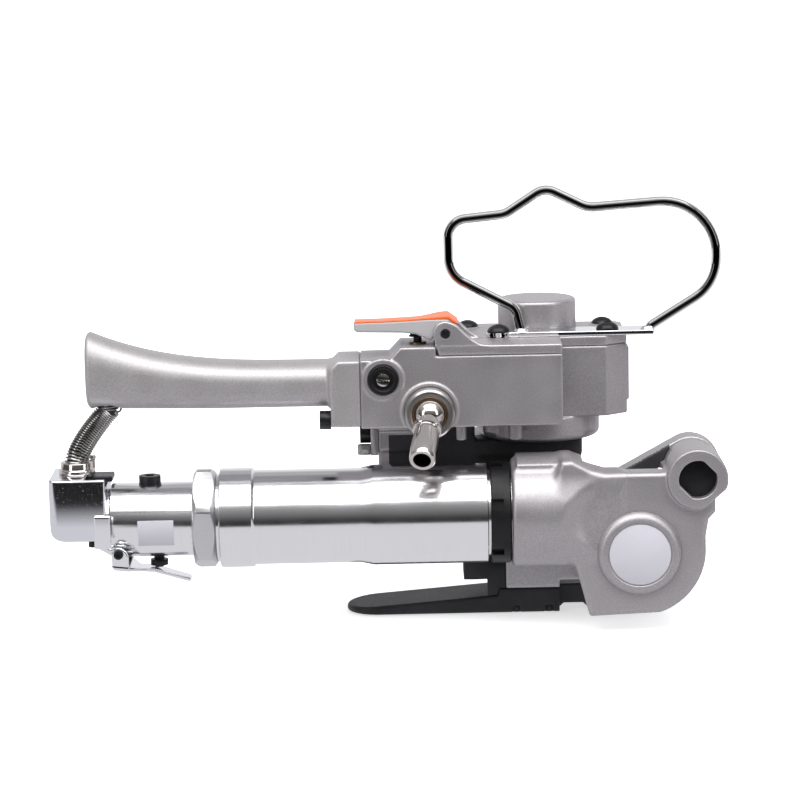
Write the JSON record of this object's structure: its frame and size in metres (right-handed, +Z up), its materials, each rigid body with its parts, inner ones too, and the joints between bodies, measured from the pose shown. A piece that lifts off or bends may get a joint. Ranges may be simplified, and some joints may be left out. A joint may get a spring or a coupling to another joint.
{
  "type": "strapping tensioner",
  "caption": "Hand-held pneumatic strapping tool that tensions plastic strap with a worm-driven wheel and welds it, with a grip, thumb lever, air inlet and hanger.",
  "frame": {"origin": "on the sole's underside, directly below the feed wheel's axis, in the strap's centre plane", "axes": "+X along the tool from the handle to the feed wheel, +Y away from the motor side towards the open side of the strap slot, +Z up from the sole"},
  "size_m": [0.3225, 0.118, 0.21],
  "materials": {
    "cast_alloy": "fine-grained satin sand casting",
    "cover_alloy": "satin cast plate",
    "grip_alloy": "fine-grained satin casting",
    "black_steel": "black oxide",
    "tool_steel": "hardened and ground",
    "ground_steel": "ground",
    "bronze": "turned",
    "chrome": "bright plated",
    "satin_nickel": "satin plated",
    "turned_aluminium": "turned and polished",
    "label_silver": "blank silver film",
    "lever_plastic": "satin moulded",
    "pad_plastic": "satin moulded",
    "hose_rubber": "hose inside a steel coil guard"
  },
  "bodies": {
    "frame": {"base_plate": "black_steel", "gripper_plate": "tool_steel", "weld_anvil": "tool_steel", "main_frame": "cast_alloy", "strap_guide": "black_steel", "end_plate": "cast_alloy", "frame_screws": "black_steel", "pivot_bush": "bronze", "weld_motor_housing": "cast_alloy", "weld_bearings": "ground_steel", "valve_body": "cast_alloy", "top_cover": "cover_alloy", "cover_screws": "black_steel", "hanger_bail": "chrome", "handle_grip": "grip_alloy", "handle_screws": "black_steel", "inlet_socket": "satin_nickel", "timer_bezel": "black_steel", "lever_pin": "ground_steel", "plunger_bush": "bronze", "plunger_spring": "ground_steel"},
    "weld_drive": {"weld_rotor": "ground_steel"},
    "weld_press": {"weld_carriage": "tool_steel", "cutter_blade": "tool_steel"},
    "shaker": {"weld_pad": "tool_steel"},
    "swivel": {"swivel_ring": "bronze"},
    "nipple": {"inlet_nipple": "chrome"},
    "timer": {"timer_screw": "bronze"},
    "lever": {"thumb_lever": "lever_plastic", "lever_pad": "pad_plastic"},
    "plunger": {"valve_plunger": "black_steel"},
    "tension_rocker": {"tension_housing": "cast_alloy", "wheel_cap": "cast_alloy", "cap_disc": "label_silver", "worm_end_plug": "ground_steel", "pivot_shaft": "black_steel", "shaft_clip": "black_steel", "lock_ring": "black_steel", "motor_tube": "turned_aluminium", "motor_liner": "ground_steel", "ring_gear": "ground_steel", "tube_nut": "turned_aluminium", "throttle_body": "turned_aluminium", "body_label": "label_silver", "plug_screw": "black_steel", "end_block": "chrome", "lever_bracket": "chrome", "throttle_pin": "black_steel", "hose_fitting": "satin_nickel", "air_hose": "hose_rubber", "drive_bearings": "ground_steel"},
    "worm": {"worm_shaft": "ground_steel"},
    "planet_1": {"planet_gear_1": "ground_steel"},
    "planet_2": {"planet_gear_2": "ground_steel"},
    "planet_3": {"planet_gear_3": "ground_steel"},
    "tension_rotor": {"motor_rotor": "ground_steel"},
    "feed": {"feed_shaft": "ground_steel", "feed_wheel": "tool_steel"},
    "trigger": {"throttle_lever": "chrome"},
    "trigger_button": {"throttle_button": "ground_steel"}
  },
  "joints": [
    {"name": "rocker_lift", "type": "hinge", "parent": "frame", "child": "tension_rocker", "pos_m": [0.0276, -0.0226, 0.074], "axis": [0, 1, 0], "range_deg": [0, 3.4], "deforming": ["air_hose"]},
    {"name": "worm_spin", "type": "hinge", "parent": "tension_rocker", "child": "worm", "pos_m": [0, -0.042, 0.0558], "axis": [1, 0, 0], "continuous": true},
    {"name": "rotor_spin", "type": "hinge", "parent": "tension_rocker", "child": "tension_rotor", "pos_m": [-0.16, -0.042, 0.0558], "axis": [1, 0, 0], "continuous": true},
    {"name": "feed_wheel_spin", "type": "hinge", "parent": "tension_rocker", "child": "feed", "pos_m": [0, 0, 0.0386], "axis": [0, 1, 0], "continuous": true},
    {"name": "planet_1_spin", "type": "hinge", "parent": "worm", "child": "planet_1", "pos_m": [-0.111, -0.0312, 0.0558], "axis": [1, 0, 0], "continuous": true},
    {"name": "planet_2_spin", "type": "hinge", "parent": "worm", "child": "planet_2", "pos_m": [-0.111, -0.0474, 0.06515], "axis": [1, 0, 0], "continuous": true},
    {"name": "planet_3_spin", "type": "hinge", "parent": "worm", "child": "planet_3", "pos_m": [-0.111, -0.0474, 0.04645], "axis": [1, 0, 0], "continuous": true},
    {"name": "trigger_press", "type": "hinge", "parent": "tension_rocker", "child": "trigger", "pos_m": [-0.247, -0.042, 0.0425], "axis": [0, -1, 0], "range_deg": [0, 4]},
    {"name": "trigger_button_slide", "type": "slide", "parent": "tension_rocker", "child": "trigger_button", "axis": [0, 0, 1], "range_m": [0, 0.0013]},
    {"name": "thumb_lever_press", "type": "hinge", "parent": "frame", "child": "lever", "pos_m": [-0.0899, -0.034, 0.1433], "axis": [0, -1, 0], "range_deg": [0, 7]},
    {"name": "plunger_slide", "type": "slide", "parent": "frame", "child": "plunger", "axis": [0, 0, -1], "range_m": [0, 0.0018], "deforming": ["plunger_spring"]},
    {"name": "timer_turn", "type": "hinge", "parent": "frame", "child": "timer", "pos_m": [-0.1198, -0.04, 0.122], "axis": [0, -1, 0], "range_deg": [-170, 170]},
    {"name": "inlet_swivel", "type": "hinge", "parent": "frame", "child": "swivel", "pos_m": [-0.098, -0.057, 0.1065], "axis": [0, -1, 0], "continuous": true},
    {"name": "inlet_tilt", "type": "hinge", "parent": "swivel", "child": "nipple", "pos_m": [-0.098, -0.057, 0.1065], "axis": [0.9681, 0, -0.2504], "range_deg": [-32, 2]},
    {"name": "weld_rotor_spin", "type": "hinge", "parent": "frame", "child": "weld_drive", "pos_m": [-0.0445, 0, 0.09], "axis": [0, 0, 1], "continuous": true},
    {"name": "weld_press_slide", "type": "slide", "parent": "frame", "child": "weld_press", "axis": [0, 0, -1], "range_m": [0, 0.0022]},
    {"name": "weld_shake", "type": "slide", "parent": "weld_press", "child": "shaker", "axis": [0, 1, 0], "range_m": [-0.001, 0.001]}
  ],
  "couplings": [
    {"joint": "feed_wheel_spin", "follows": "worm_spin", "ratio": -0.045455},
    {"joint": "rotor_spin", "follows": "worm_spin", "ratio": 4},
    {"joint": "planet_1_spin", "follows": "worm_spin", "ratio": -3},
    {"joint": "planet_2_spin", "follows": "worm_spin", "ratio": -3},
    {"joint": "planet_3_spin", "follows": "worm_spin", "ratio": -3},
    {"joint": "trigger_button_slide", "follows": "trigger_press", "m_per_rad": 0.018},
    {"joint": "plunger_slide", "follows": "thumb_lever_press", "m_per_rad": 0.0135}
  ]
}
